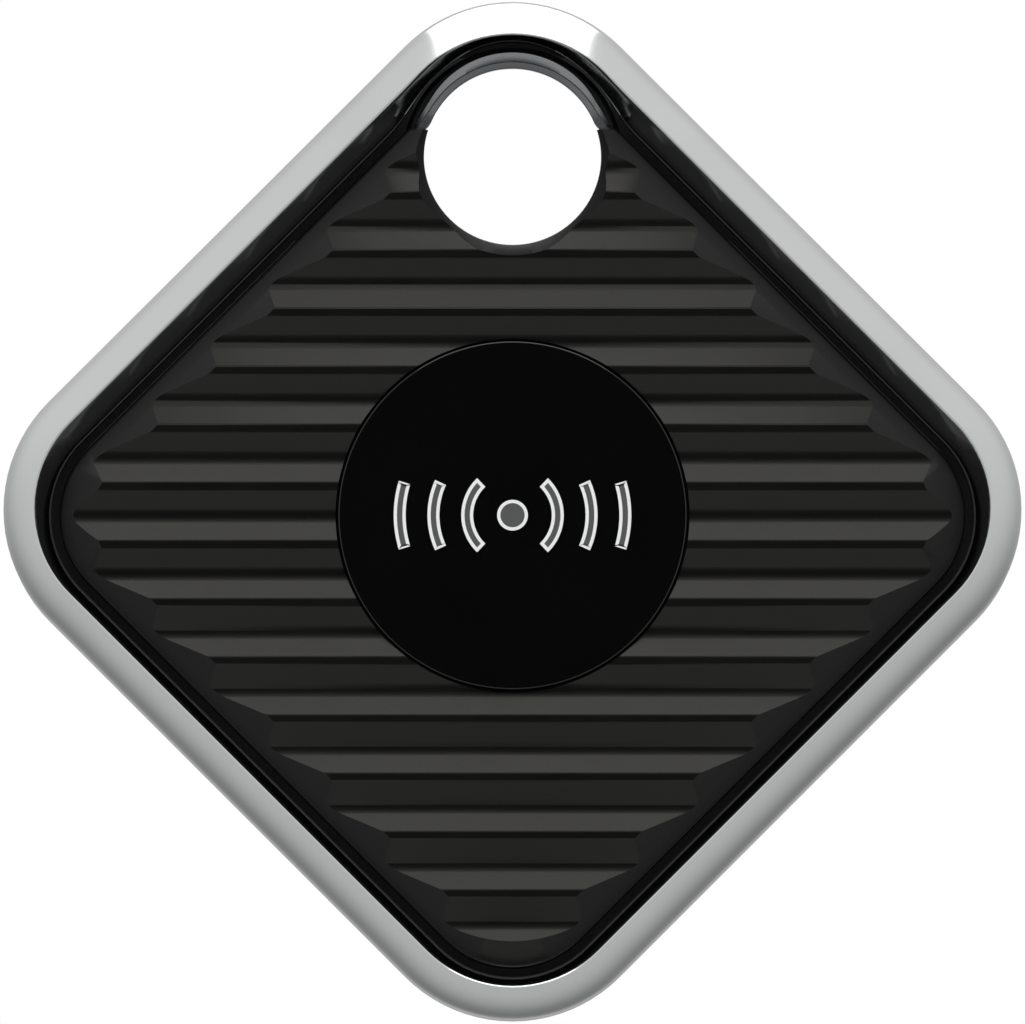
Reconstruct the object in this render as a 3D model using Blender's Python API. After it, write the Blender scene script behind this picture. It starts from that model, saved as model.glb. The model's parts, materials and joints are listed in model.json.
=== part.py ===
"""Bluetooth tracker tag: a square metal-framed key tag with a ridged front, a round press button,
a key hole in its top corner, a coin cell under a screw-in battery door, and a sounder.

Everything is drawn lying on its back, in millimetres: x to the right, y towards the key hole and
z from the back face (0) to the front. One empty brings that to metres and stands the tag up, with
its face towards -Y and the centre of its key hole, at half its thickness, at the origin.
"""

import math

import bmesh
import bpy
from mathutils import Vector

MM = 0.001

# Outline: a square that stands on one corner
ACROSS_FLATS = 42.0
CORNER_R = 7.9
CORNER_STEPS = 8
THICKNESS = 8.4
EYE_Y = 18.35
EYE_R = 4.6
EYE_STEPS = 40

# Metal frame, as insets from the outline
FRAME_FOOT = 1.5
FRAME_SHOULDER = 6.3
CROWN_INSET = 1.35
LIP_INSET = 1.53
WELL_INSET = 2.5
WELL_TOP_R = 3.7
SHELF_INSET = 3.75
SHELF_LOW, SHELF_TOP = 5.35, 5.85
BORE_INSET = 2.3

# Ridged front cover
FRONT_DROP = 0.35
COVER_INSET = 2.94
COVER_TOP_R = 3.4
COVER_FOOT = 6.1
COVER_UNDER = 6.6
VALLEY = 7.3
RIDGE_HEIGHT = 0.45
RIDGE_PITCH = 3.02
RIM_SLOPE = 0.437
RIM_TOP = VALLEY - 0.7 * RIM_SLOPE
HORN_Y = EYE_Y + 1.25

# Button
BUTTON_AT = (0.0, -FRONT_DROP)
BUTTON_R = 9.05
BUTTON_GAP = 0.13
BUTTON_TOP = 7.7
BUTTON_TRAVEL = 0.25
BUTTON_STEPS = 64

# Back shell
FLOOR = 1.1
SHELL_STEP = 1.3
WALL_OUT, WALL_IN = 2.5, 3.6
WALL_TOP = 5.0
SCREW_XY = 10.8
BOSS_R = 1.5

# Battery and its door
CELL_Y = -1.0
CELL_R = 10.0
CELL_LOW, CELL_TOP = 1.2, 4.4
DOOR_R = 12.0
DOOR_FACE = 0.15
DOOR_PLATE = 1.1
SEAT = 1.7
THREAD_R = 11.0
THREAD_DEPTH = 0.22
THREAD_PITCH = 1.0
THREAD_GAP = 0.12
THREAD_STEPS = 48
THREAD_ROWS = 8
NECK_TOP = 3.15
COLLAR_R, COLLAR_TOP = 12.9, 3.4

# Circuit board
BOARD_LOW, BOARD_TOP = 5.15, 5.75
BOARD_INSET = 3.95

# Sounder in the bottom corner
SOUNDER_Y = -18.3
SOUNDER_R = 4.1
SOUNDER_LOW, SOUNDER_TOP = 1.45, 5.0

MATERIALS = {
    "polished_metal": ((0.62, 0.64, 0.63), 0.16, 1.0),
    "eye_metal": ((0.30, 0.32, 0.33), 0.25, 1.0),
    "satin_black": ((0.022, 0.022, 0.021), 0.45, 0.0),
    "gloss_black": ((0.006, 0.006, 0.006), 0.12, 0.0),
    "steel": ((0.55, 0.55, 0.56), 0.3, 1.0),
    "gold_plate": ((0.75, 0.55, 0.25), 0.3, 1.0),
    "rubber_black": ((0.03, 0.03, 0.03), 0.8, 0.0),
    "adhesive": ((0.10, 0.10, 0.10), 0.7, 0.0),
    "board_green": ((0.02, 0.13, 0.06), 0.45, 0.0),
    "nylon_white": ((0.75, 0.75, 0.70), 0.5, 0.0),
    "chip_black": ((0.03, 0.03, 0.035), 0.5, 0.0),
    "ceramic": ((0.70, 0.62, 0.50), 0.5, 0.0),
    "copper": ((0.72, 0.35, 0.18), 0.35, 1.0),
    "membrane": ((0.80, 0.80, 0.80), 0.8, 0.0),
}


def remove_old_objects():
    for old in list(bpy.data.objects):
        bpy.data.objects.remove(old)


def material(name):
    made = bpy.data.materials.get(name)
    if made is None:
        colour, roughness, metallic = MATERIALS[name]
        made = bpy.data.materials.new(name)
        made.use_nodes = True
        shader = made.node_tree.nodes["Principled BSDF"]
        shader.inputs["Base Color"].default_value = (*colour, 1.0)
        shader.inputs["Roughness"].default_value = roughness
        shader.inputs["Metallic"].default_value = metallic
    return made


def standing_frame():
    """The empty that turns millimetres to metres and stands the tag up, face towards -Y."""
    frame = bpy.data.objects.new("tag_frame", None)
    frame.rotation_euler = (math.pi / 2, 0.0, 0.0)
    frame.scale = (MM, MM, MM)
    frame.location = Vector((0.0, THICKNESS / 2, -EYE_Y)) * MM
    bpy.context.collection.objects.link(frame)
    return frame


def add_object(name, bm, finish, at=(0.0, 0.0)):
    """Makes a bmesh an object of the tag, with its origin at the point `at` of the face plane."""
    bmesh.ops.recalc_face_normals(bm, faces=bm.faces)
    mesh = bpy.data.meshes.new(name)
    bm.to_mesh(mesh)
    bm.free()
    mesh.shade_smooth()
    mesh.set_sharp_from_angle(angle=math.radians(35))
    made = bpy.data.objects.new(name, mesh)
    made.location = (*at, 0.0)
    made.parent = TAG
    bpy.context.collection.objects.link(made)
    if finish is None:
        made.hide_render = True
        made.display_type = "WIRE"
    else:
        mesh.materials.append(material(finish))
    return made


def diamond(inset, top_r=None, drop=0.0):
    """The tag's outline moved in by `inset` and down by `drop`, as the front's opening is; `top_r`
    is a tighter radius for the key hole's corner."""
    half_flat = ACROSS_FLATS / 2 - inset
    points = []
    for corner in range(4):
        radius = CORNER_R - inset
        if corner == 1 and top_r is not None:
            radius = top_r
        reach = (half_flat - radius) * math.sqrt(2)
        middle = corner * math.pi / 2
        centre = Vector((math.cos(middle), math.sin(middle))) * reach - Vector((0.0, drop))
        for step in range(CORNER_STEPS + 1):
            turn = middle + math.pi / 2 * (step / CORNER_STEPS - 0.5)
            points.append(centre + Vector((math.cos(turn), math.sin(turn))) * radius)
    return points


def circle(radius, steps):
    turns = [2 * math.pi * step / steps for step in range(steps)]
    return [Vector((math.cos(turn), math.sin(turn))) * radius for turn in turns]


def loft(levels, ring=False, bm=None, at=(0.0, 0.0)):
    """Skins a solid over closed loops of equal length, each (points, z), and adds it to a bmesh."""
    bm = bm or bmesh.new()
    loops = []
    for points, z in levels:
        loops.append([bm.verts.new((p.x + at[0], p.y + at[1], z)) for p in points])
    pairs = list(zip(loops, loops[1:]))
    if ring:
        pairs.append((loops[-1], loops[0]))
    else:
        bm.faces.new(loops[0])
        bm.faces.new(loops[-1])
    for low, high in pairs:
        for i in range(len(low)):
            j = (i + 1) % len(low)
            bm.faces.new((low[i], low[j], high[j], high[i]))
    return bm


def turned_levels(profile, steps):
    return [(circle(radius, steps), z) for radius, z in profile]


def turned(name, profile, finish, steps, at=(0.0, 0.0), ring=False):
    """A turned solid from (radius, z) pairs; a ring's profile closes on itself."""
    return add_object(name, loft(turned_levels(profile, steps), ring), finish, at)


def block(name, low, high, finish, at=(0.0, 0.0)):
    bm = bmesh.new()
    bmesh.ops.create_cube(bm, size=1.0)
    size = [b - a for a, b in zip(low, high)]
    middle = [(a + b) / 2 for a, b in zip(low, high)]
    bmesh.ops.scale(bm, vec=size, verts=bm.verts)
    bmesh.ops.translate(bm, vec=middle, verts=bm.verts)
    return add_object(name, bm, finish, at)


def chamfered_block(name, size, at, low_z, chamfer, finish):
    """A chip body: `size` is x, y and height, and its top edges are chamfered."""
    made = block(
        name,
        (-size[0] / 2, -size[1] / 2, low_z),
        (size[0] / 2, size[1] / 2, low_z + size[2]),
        finish,
        at,
    )
    bevel = made.modifiers.new("edges", "BEVEL")
    bevel.width = chamfer
    bevel.segments = 1
    bevel.limit_method = "ANGLE"
    return made


def strip(name, path, width, thickness, finish, at=(0.0, 0.0)):
    """A bent metal strip: `path` is its centre line in x and z, and `width` runs along y."""
    points = [Vector(p) for p in path]
    sides = ([], [])
    for i, point in enumerate(points):
        ahead = points[min(i + 1, len(points) - 1)] - points[max(i - 1, 0)]
        across = Vector((-ahead.y, ahead.x)).normalized() * thickness / 2
        sides[0].append(point + across)
        sides[1].append(point - across)
    section = sides[0] + sides[1][::-1]
    bm = bmesh.new()
    face = bm.faces.new([bm.verts.new((p.x, -width / 2, p.y)) for p in section])
    grown = bmesh.ops.extrude_face_region(bm, geom=[face])["geom"]
    moved = [item for item in grown if isinstance(item, bmesh.types.BMVert)]
    bmesh.ops.translate(bm, vec=(0.0, width, 0.0), verts=moved)
    return add_object(name, bm, finish, at)


def combine(target, tool, operation):
    step = target.modifiers.new(tool.name, "BOOLEAN")
    step.operation = operation
    step.solver = "EXACT"
    step.object = tool
    return target


def screw_places():
    return [(x * SCREW_XY, y * SCREW_XY) for x, y in ((1, 1), (-1, 1), (-1, -1), (1, -1))]


def bezel_frame():
    """Polished ring: upright band, domed crown, crisp lip, sloped inner wall and the cover's shelf."""
    crown_rise = THICKNESS - FRAME_SHOULDER
    section = [(0.12, FRAME_FOOT), (0.0, FRAME_FOOT + 0.12)]
    for step in range(7):
        turn = math.pi / 2 * step / 6
        inset = CROWN_INSET * (1 - math.cos(turn))
        section.append((inset, FRAME_SHOULDER + crown_rise * math.sin(turn)))
    section.append((LIP_INSET, THICKNESS - 0.06))
    section.append((WELL_INSET, 6.95))
    section.append((WELL_INSET, SHELF_TOP))
    section.append((SHELF_INSET, SHELF_TOP))
    section.append((SHELF_INSET, SHELF_LOW))
    section.append((BORE_INSET, SHELF_LOW))
    section.append((BORE_INSET, FRAME_FOOT))
    levels = []
    for place, (inset, z) in enumerate(section):
        inner = place > 9
        tighter = WELL_TOP_R - (inset - WELL_INSET) if inner else None
        levels.append((diamond(inset, tighter, FRONT_DROP if inner and z > SHELF_LOW else 0.0), z))
    frame = add_object("bezel_frame", loft(levels, ring=True), "polished_metal")
    clear = turned(
        "cut_shelf_at_eye",
        [(EYE_R + 1.13, SHELF_LOW - 0.2), (EYE_R + 1.13, COVER_FOOT + 0.05)],
        None,
        EYE_STEPS,
        (0.0, EYE_Y),
    )
    return combine(frame, clear, "DIFFERENCE")


def ridged_slab():
    """A slab whose top is a row of soft-edged ridges that run along x."""
    reach = 8
    outline = [(-reach * RIDGE_PITCH - FRONT_DROP, 5.0)]
    for k in range(-reach, reach):
        valley_y = k * RIDGE_PITCH - FRONT_DROP
        crest_y = valley_y + RIDGE_PITCH / 2
        outline.append((valley_y - 0.3, VALLEY + 0.05))
        outline.append((valley_y + 0.3, VALLEY + 0.05))
        outline.append((crest_y - 0.1, VALLEY + RIDGE_HEIGHT))
        outline.append((crest_y + 0.1, VALLEY + RIDGE_HEIGHT))
    outline.append((reach * RIDGE_PITCH - FRONT_DROP, VALLEY))
    outline.append((reach * RIDGE_PITCH - FRONT_DROP, 5.0))
    half = ACROSS_FLATS * 0.7
    bm = bmesh.new()
    face = bm.faces.new([bm.verts.new((-half, y, z)) for y, z in outline])
    grown = bmesh.ops.extrude_face_region(bm, geom=[face])["geom"]
    moved = [item for item in grown if isinstance(item, bmesh.types.BMVert)]
    bmesh.ops.translate(bm, vec=(2 * half, 0.0, 0.0), verts=moved)
    return add_object("cut_ridges", bm, None)


def front_cover():
    """Ridged plate with a sloped rim, a button hole, and horns at the sides of the key hole."""
    slope_end = 8.2
    slope_in = COVER_INSET + (slope_end - RIM_TOP) / RIM_SLOPE
    levels = [
        (diamond(COVER_INSET, COVER_TOP_R, FRONT_DROP), COVER_FOOT),
        (diamond(COVER_INSET, COVER_TOP_R, FRONT_DROP), RIM_TOP),
        (diamond(slope_in, 0.8, FRONT_DROP), slope_end),
    ]
    cover = add_object("front_cover", loft(levels), "satin_black")
    combine(cover, ridged_slab(), "INTERSECT")

    pocket_outline = diamond(COVER_INSET + 0.85, 2.6, FRONT_DROP)
    pocket = add_object(
        "cut_cover_pocket",
        loft([(pocket_outline, COVER_FOOT - 0.5), (pocket_outline, COVER_UNDER)]),
        None,
    )
    land = turned(
        "land_at_eye",
        [(EYE_R + 0.9, COVER_FOOT - 1.0), (EYE_R + 0.9, COVER_UNDER + 0.5)],
        None,
        EYE_STEPS,
        (0.0, EYE_Y),
    )
    combine(pocket, land, "DIFFERENCE")
    combine(cover, pocket, "DIFFERENCE")

    bosses = bmesh.new()
    for place in screw_places():
        boss = turned_levels([(BOSS_R, BOARD_TOP + 0.1), (BOSS_R, COVER_UNDER + 0.2)], 16)
        loft(boss, bm=bosses, at=place)
    combine(cover, add_object("cover_bosses", bosses, None), "UNION")

    holes = bmesh.new()
    for place in screw_places():
        pilot = turned_levels([(0.66, BOARD_TOP - 0.5), (0.66, COVER_UNDER + 0.35)], 12)
        loft(pilot, bm=holes, at=place)
    opening_r = BUTTON_R + BUTTON_GAP
    opening = turned_levels([(opening_r, 4.0), (opening_r, 9.0)], BUTTON_STEPS)
    loft(opening, bm=holes, at=BUTTON_AT)
    flare_low = RIM_TOP - 0.05
    flare = [(EYE_R, 4.0), (EYE_R, flare_low), (EYE_R + 1.4, flare_low + 1.2)]
    loft(turned_levels(flare, EYE_STEPS), bm=holes, at=(0.0, EYE_Y))
    combine(cover, add_object("cut_cover", holes, None), "DIFFERENCE")
    above_horns = block(
        "cut_above_horns", (-9.0, HORN_Y + 0.05, 4.0), (9.0, 28.0, 9.0), None
    )
    combine(cover, above_horns, "DIFFERENCE")
    return cover


def key_eye_arch():
    """Slim polished arch that closes the key hole above the cover's horns."""
    top = RIM_TOP + 0.15
    levels = [
        (diamond(COVER_INSET, COVER_TOP_R, FRONT_DROP), COVER_FOOT),
        (diamond(COVER_INSET, COVER_TOP_R, FRONT_DROP), top - 0.15),
        (diamond(COVER_INSET + 0.12, COVER_TOP_R - 0.12, FRONT_DROP), top),
    ]
    arch = add_object("key_eye_arch", loft(levels), "eye_metal")
    eye = turned(
        "cut_arch_eye",
        [(EYE_R, 4.0), (EYE_R, top - 0.4), (EYE_R + 0.3, top - 0.35), (EYE_R + 0.3, 9.0)],
        None,
        EYE_STEPS,
        (0.0, EYE_Y),
    )
    combine(arch, eye, "DIFFERENCE")
    below = block("cut_below_horns", (-28.0, -28.0, 4.0), (28.0, HORN_Y + 0.2, 9.0), None)
    return combine(arch, below, "DIFFERENCE")


def button_cap():
    """Flat glossy disc with a retaining flange under the cover."""
    profile = [
        (BUTTON_R - 0.12, BUTTON_TOP),
        (BUTTON_R, BUTTON_TOP - 0.12),
        (BUTTON_R, COVER_UNDER - 0.1),
        (BUTTON_R + 0.75, COVER_UNDER - 0.1),
        (BUTTON_R + 0.75, COVER_UNDER - 0.38),
        (BUTTON_R - 0.9, COVER_UNDER - 0.38),
        (BUTTON_R - 0.9, BUTTON_TOP - 0.8),
    ]
    return turned("button_cap", profile, "gloss_black", BUTTON_STEPS, BUTTON_AT)


def switch():
    """Low tact switch under the button: hollow body, snap dome and plunger."""
    low = BOARD_TOP + 0.05
    body = block(
        "switch_body", (-2.1, -1.6, low), (2.1, 1.6, low + 0.6), "chip_black", BUTTON_AT
    )
    well = turned(
        "cut_switch_well", [(1.05, low + 0.15), (1.05, low + 1.0)], None, 24, BUTTON_AT
    )
    combine(body, well, "DIFFERENCE")
    turned("switch_dome", [(0.95, low + 0.18), (0.9, low + 0.24)], "steel", 24, BUTTON_AT)
    plunger_low = low + 0.24 + BUTTON_TRAVEL + 0.03
    turned(
        "switch_plunger",
        [(0.8, plunger_low), (0.8, BUTTON_TOP - 0.95), (0.7, BUTTON_TOP - 0.85)],
        "nylon_white",
        24,
        BUTTON_AT,
    )


def thread_circle(z, gap, start, end, female):
    """One loop of a rounded right-hand screw thread at height z. Towards its ends a male thread fades to
    its root and a female one fades open, so that neither ever meets the other's crest."""
    fade = min(1.0, max(0.0, min(z - start, end - z) / (THREAD_PITCH / 4)))
    rest = THREAD_DEPTH if female else -THREAD_DEPTH
    points = []
    for step in range(THREAD_STEPS):
        turn = 2 * math.pi * step / THREAD_STEPS
        phase = 2 * math.pi * z / THREAD_PITCH - turn
        wave = THREAD_DEPTH * math.cos(phase) * fade + rest * (1 - fade)
        radius = THREAD_R + gap + wave
        points.append(Vector((math.cos(turn), math.sin(turn))) * radius)
    return points


def thread_levels(start, end, gap, female):
    rows = round((end - start) / THREAD_PITCH * THREAD_ROWS)
    heights = [start + (end - start) * row / rows for row in range(rows + 1)]
    return [(thread_circle(z, gap, start, end, female), z) for z in heights]


def back_shell():
    """Tray with the door's threaded collar, the key hole's tube, screw bosses and sound ports."""
    levels = [
        (diamond(1.7), 0.0),
        (diamond(1.15), 0.18),
        (diamond(0.75), 0.6),
        (diamond(0.6), SHELL_STEP),
        (diamond(WALL_OUT, 4.2), SHELL_STEP),
        (diamond(WALL_OUT, 4.2), WALL_TOP),
        (diamond(WALL_IN, 3.2), WALL_TOP),
        (diamond(WALL_IN, 3.2), FLOOR),
    ]
    shell = add_object("back_shell", loft(levels), "satin_black")
    posts = bmesh.new()
    collar = turned_levels([(COLLAR_R, 0.6), (COLLAR_R, COLLAR_TOP)], THREAD_STEPS)
    loft(collar, bm=posts, at=(0.0, CELL_Y))
    tube = turned_levels([(EYE_R + 0.88, 0.6), (EYE_R + 0.88, COVER_FOOT - 0.1)], EYE_STEPS)
    loft(tube, bm=posts, at=(0.0, EYE_Y))
    for place in screw_places():
        loft(turned_levels([(BOSS_R, 0.6), (BOSS_R, BOARD_LOW - 0.05)], 16), bm=posts, at=place)
    combine(shell, add_object("shell_posts", posts, None), "UNION")

    holes = bmesh.new()
    female_r = THREAD_R + THREAD_DEPTH + THREAD_GAP
    bore_levels = [
        (circle(DOOR_R + 0.25, THREAD_STEPS), -1.0),
        (circle(DOOR_R + 0.25, THREAD_STEPS), SEAT),
        (circle(female_r, THREAD_STEPS), SEAT),
        *thread_levels(SEAT + 0.1, COLLAR_TOP - 0.1, THREAD_GAP, female=True),
        (circle(female_r, THREAD_STEPS), COLLAR_TOP + 1.0),
    ]
    loft(bore_levels, bm=holes, at=(0.0, CELL_Y))
    eye = turned_levels([(EYE_R + 0.9, -0.3), (EYE_R, 0.45), (EYE_R, 9.0)], EYE_STEPS)
    loft(eye, bm=holes, at=(0.0, EYE_Y))
    for place in screw_places():
        screw = turned_levels([(1.25, -1.0), (1.25, 0.95), (0.75, 0.95), (0.75, 9.0)], 16)
        loft(screw, bm=holes, at=place)
    for number in range(3):
        port = turned_levels([(0.35, -1.0), (0.35, 1.5)], 12)
        loft(port, bm=holes, at=((number - 1) * 1.1, SOUNDER_Y))
    return combine(shell, add_object("cut_shell", holes, None), "DIFFERENCE")


def battery_door():
    """Screw-in door: flange with a coin slot, and a threaded neck round the coin cell."""
    root = THREAD_R - THREAD_DEPTH
    levels = [
        (circle(DOOR_R - 0.2, THREAD_STEPS), DOOR_FACE),
        (circle(DOOR_R, THREAD_STEPS), DOOR_FACE + 0.2),
        (circle(DOOR_R, THREAD_STEPS), DOOR_PLATE),
        (circle(root, THREAD_STEPS), DOOR_PLATE),
        *thread_levels(SEAT + 0.15, NECK_TOP - 0.05, 0.0, female=False),
        (circle(root, THREAD_STEPS), NECK_TOP),
        (circle(CELL_R + 0.2, THREAD_STEPS), NECK_TOP),
        (circle(CELL_R + 0.2, THREAD_STEPS), DOOR_PLATE),
    ]
    door = add_object("battery_door", loft(levels), "satin_black", (0.0, CELL_Y))
    slot = block(
        "cut_coin_slot", (-6.5, -0.9, -1.0), (6.5, 0.9, DOOR_FACE + 0.5), None, (0.0, CELL_Y)
    )
    return combine(door, slot, "DIFFERENCE")


def ring_of_wire(name, ring_r, wire_r, z, finish, steps, at):
    """An O-ring with an eight-sided section."""
    profile = []
    for step in range(8):
        turn = 2 * math.pi * (step + 0.5) / 8
        profile.append((ring_r + wire_r * math.cos(turn), z + wire_r * math.sin(turn)))
    return turned(name, profile, finish, steps, at, ring=True)


def coin_cell():
    """Coin cell, positive can towards the door: can, insulating ring and cap."""
    wall = 0.25
    turned(
        "cell_can",
        [
            (CELL_R - 0.3, CELL_LOW),
            (CELL_R, CELL_LOW + 0.3),
            (CELL_R, CELL_TOP - 0.5),
            (CELL_R - 0.3, CELL_TOP - 0.25),
            (CELL_R - 0.55, CELL_TOP - 0.45),
            (CELL_R - wall, CELL_TOP - 0.6),
            (CELL_R - wall, CELL_LOW + wall),
        ],
        "steel",
        THREAD_STEPS,
        (0.0, CELL_Y),
    )
    turned(
        "cell_gasket",
        [
            (CELL_R - 0.35, CELL_LOW + 0.4),
            (CELL_R - 0.35, CELL_TOP - 0.8),
            (CELL_R - 0.75, CELL_TOP - 0.4),
            (CELL_R - 0.85, CELL_TOP - 0.45),
            (CELL_R - 0.85, CELL_LOW + 0.4),
        ],
        "nylon_white",
        THREAD_STEPS,
        (0.0, CELL_Y),
        ring=True,
    )
    turned(
        "cell_cap",
        [
            (CELL_R - 1.0, CELL_LOW + 0.4),
            (CELL_R - 1.0, CELL_TOP - 0.2),
            (CELL_R - 1.2, CELL_TOP),
        ],
        "steel",
        THREAD_STEPS,
        (0.0, CELL_Y),
    )


def battery_contacts():
    """Holder ring under the board, spring leaf on the cell's cap, and side leaf on its can."""
    holder = turned(
        "battery_holder",
        [
            (11.6, COLLAR_TOP + 0.1),
            (11.6, BOARD_LOW - 0.05),
            (10.35, BOARD_LOW - 0.05),
            (10.35, COLLAR_TOP + 0.1),
        ],
        "nylon_white",
        THREAD_STEPS,
        (0.0, CELL_Y),
        ring=True,
    )
    notch = block("cut_leaf_notch", (9.0, -2.3, 3.7), (10.9, 2.3, 6.0), None, (0.0, CELL_Y))
    combine(holder, notch, "DIFFERENCE")
    under = BOARD_LOW - 0.12
    strip(
        "negative_contact",
        [(-6.0, under), (-2.0, under), (3.0, 4.52), (4.2, 4.62)],
        3.0,
        0.12,
        "gold_plate",
        (0.0, CELL_Y),
    )
    strip(
        "positive_contact",
        [(10.14, 3.85), (10.10, 4.2), (10.55, under), (10.8, under)],
        3.0,
        0.1,
        "gold_plate",
        (0.0, CELL_Y),
    )


def circuit_board():
    """Board with a cut-out round the key hole's tube and clearance holes for the four screws."""
    levels = [(diamond(BOARD_INSET, 3.0), BOARD_LOW), (diamond(BOARD_INSET, 3.0), BOARD_TOP)]
    board = add_object("circuit_board", loft(levels), "board_green")
    eye = turned(
        "cut_board_eye",
        [(EYE_R + 1.13, 4.0), (EYE_R + 1.13, 7.0)],
        None,
        EYE_STEPS,
        (0.0, EYE_Y),
    )
    combine(board, eye, "DIFFERENCE")
    corner = block("cut_board_corner", (-9.0, EYE_Y - 1.0, 4.0), (9.0, 28.0, 7.0), None)
    combine(board, corner, "DIFFERENCE")
    holes = bmesh.new()
    for place in screw_places():
        loft(turned_levels([(0.8, 4.0), (0.8, 7.0)], 12), bm=holes, at=place)
    return combine(board, add_object("cut_board_holes", holes, None), "DIFFERENCE")


def board_parts():
    """Parts on the board's front side, outside the button's flange."""
    on_board = BOARD_TOP + 0.04
    chamfered_block("radio_chip", (5.0, 5.0, 0.65), (-14.6, 0.0), on_board, 0.08, "chip_black")
    chamfered_block("crystal", (2.0, 1.6, 0.5), (-18.9, 0.0), on_board, 0.08, "steel")
    chamfered_block("chip_antenna", (2.0, 6.0, 0.7), (16.5, 0.0), on_board, 0.06, "ceramic")
    chamfered_block("power_inductor", (2.0, 2.0, 0.7), (-11.5, -6.2), on_board, 0.1, "chip_black")
    chamfered_block("bulk_capacitor", (3.2, 1.6, 0.7), (0.0, -12.6), on_board, 0.08, "ceramic")
    chamfered_block("sounder_driver", (2.0, 2.0, 0.6), (3.4, -15.2), on_board, 0.08, "chip_black")


def sounder():
    """Magnetic sounder that faces the ports in the back: case, diaphragm, magnet, coil and core."""
    at = (0.0, SOUNDER_Y)
    turned("port_membrane", [(1.9, FLOOR + 0.06), (1.9, FLOOR + 0.26)], "membrane", 24, at)
    turned(
        "sounder_case",
        [
            (SOUNDER_R, SOUNDER_LOW),
            (SOUNDER_R, SOUNDER_TOP),
            (SOUNDER_R - 0.35, SOUNDER_TOP),
            (SOUNDER_R - 0.35, SOUNDER_LOW + 0.9),
            (SOUNDER_R - 0.8, SOUNDER_LOW + 0.9),
            (SOUNDER_R - 0.8, SOUNDER_LOW + 0.3),
            (0.8, SOUNDER_LOW + 0.3),
            (0.8, SOUNDER_LOW),
        ],
        "chip_black",
        32,
        at,
        ring=True,
    )
    disc_low = SOUNDER_LOW + 0.95
    turned("sounder_diaphragm", [(3.6, disc_low), (3.6, disc_low + 0.08)], "steel", 32, at)
    magnet_low = disc_low + 0.35
    core_low = SOUNDER_TOP - 0.45
    turned(
        "sounder_magnet",
        [
            (3.5, magnet_low),
            (3.5, core_low - 0.05),
            (2.6, core_low - 0.05),
            (2.6, magnet_low),
        ],
        "rubber_black",
        32,
        at,
        ring=True,
    )
    turned(
        "sounder_coil",
        [
            (2.3, magnet_low),
            (2.3, core_low - 0.05),
            (0.95, core_low - 0.05),
            (0.95, magnet_low),
        ],
        "copper",
        32,
        at,
        ring=True,
    )
    turned(
        "sounder_core",
        [(0.85, disc_low + 0.25), (0.85, core_low), (3.6, core_low), (3.6, SOUNDER_TOP - 0.05)],
        "steel",
        32,
        at,
    )


def open_ring(name, outer, inner, low, high, finish):
    """A flat ring inside the frame that stops short of the key hole's corner."""
    levels = [
        (diamond(outer), low),
        (diamond(outer), high),
        (diamond(inner), high),
        (diamond(inner), low),
    ]
    made = add_object(name, loft(levels, ring=True), finish)
    gap = block(f"cut_{name}", (-12.0, 14.0, low - 1.0), (12.0, 28.0, high + 1.0), None)
    return combine(made, gap, "DIFFERENCE")


def seals():
    open_ring("shell_gasket", 2.65, 3.5, WALL_TOP + 0.05, SHELF_LOW - 0.05, "rubber_black")
    open_ring("cover_adhesive", 3.1, 3.7, SHELF_TOP + 0.05, COVER_FOOT - 0.05, "adhesive")
    ring_of_wire(
        "door_seal_ring", 11.55, 0.28, 1.4, "rubber_black", THREAD_STEPS, (0.0, CELL_Y)
    )


def housing_screws():
    """Four screws from the back, through the shell and board into the cover's bosses."""
    for number, place in enumerate(screw_places(), 1):
        screw = turned(
            f"housing_screw_{number}",
            [(1.0, 0.3), (1.1, 0.4), (1.1, 0.9), (0.6, 0.9), (0.6, 6.6), (0.4, 6.8)],
            "steel",
            16,
            place,
        )
        drive = block(
            f"cut_drive_{number}", (-0.7, -0.16, -1.0), (0.7, 0.16, 0.55), None, place
        )
        combine(screw, drive, "DIFFERENCE")


remove_old_objects()
TAG = standing_frame()
bezel_frame()
front_cover()
key_eye_arch()
button_cap()
switch()
circuit_board()
board_parts()
coin_cell()
battery_contacts()
sounder()
back_shell()
battery_door()
seals()
housing_screws()
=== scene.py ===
import json
import math

import bmesh
import bpy
from mathutils import Matrix, Vector


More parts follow.
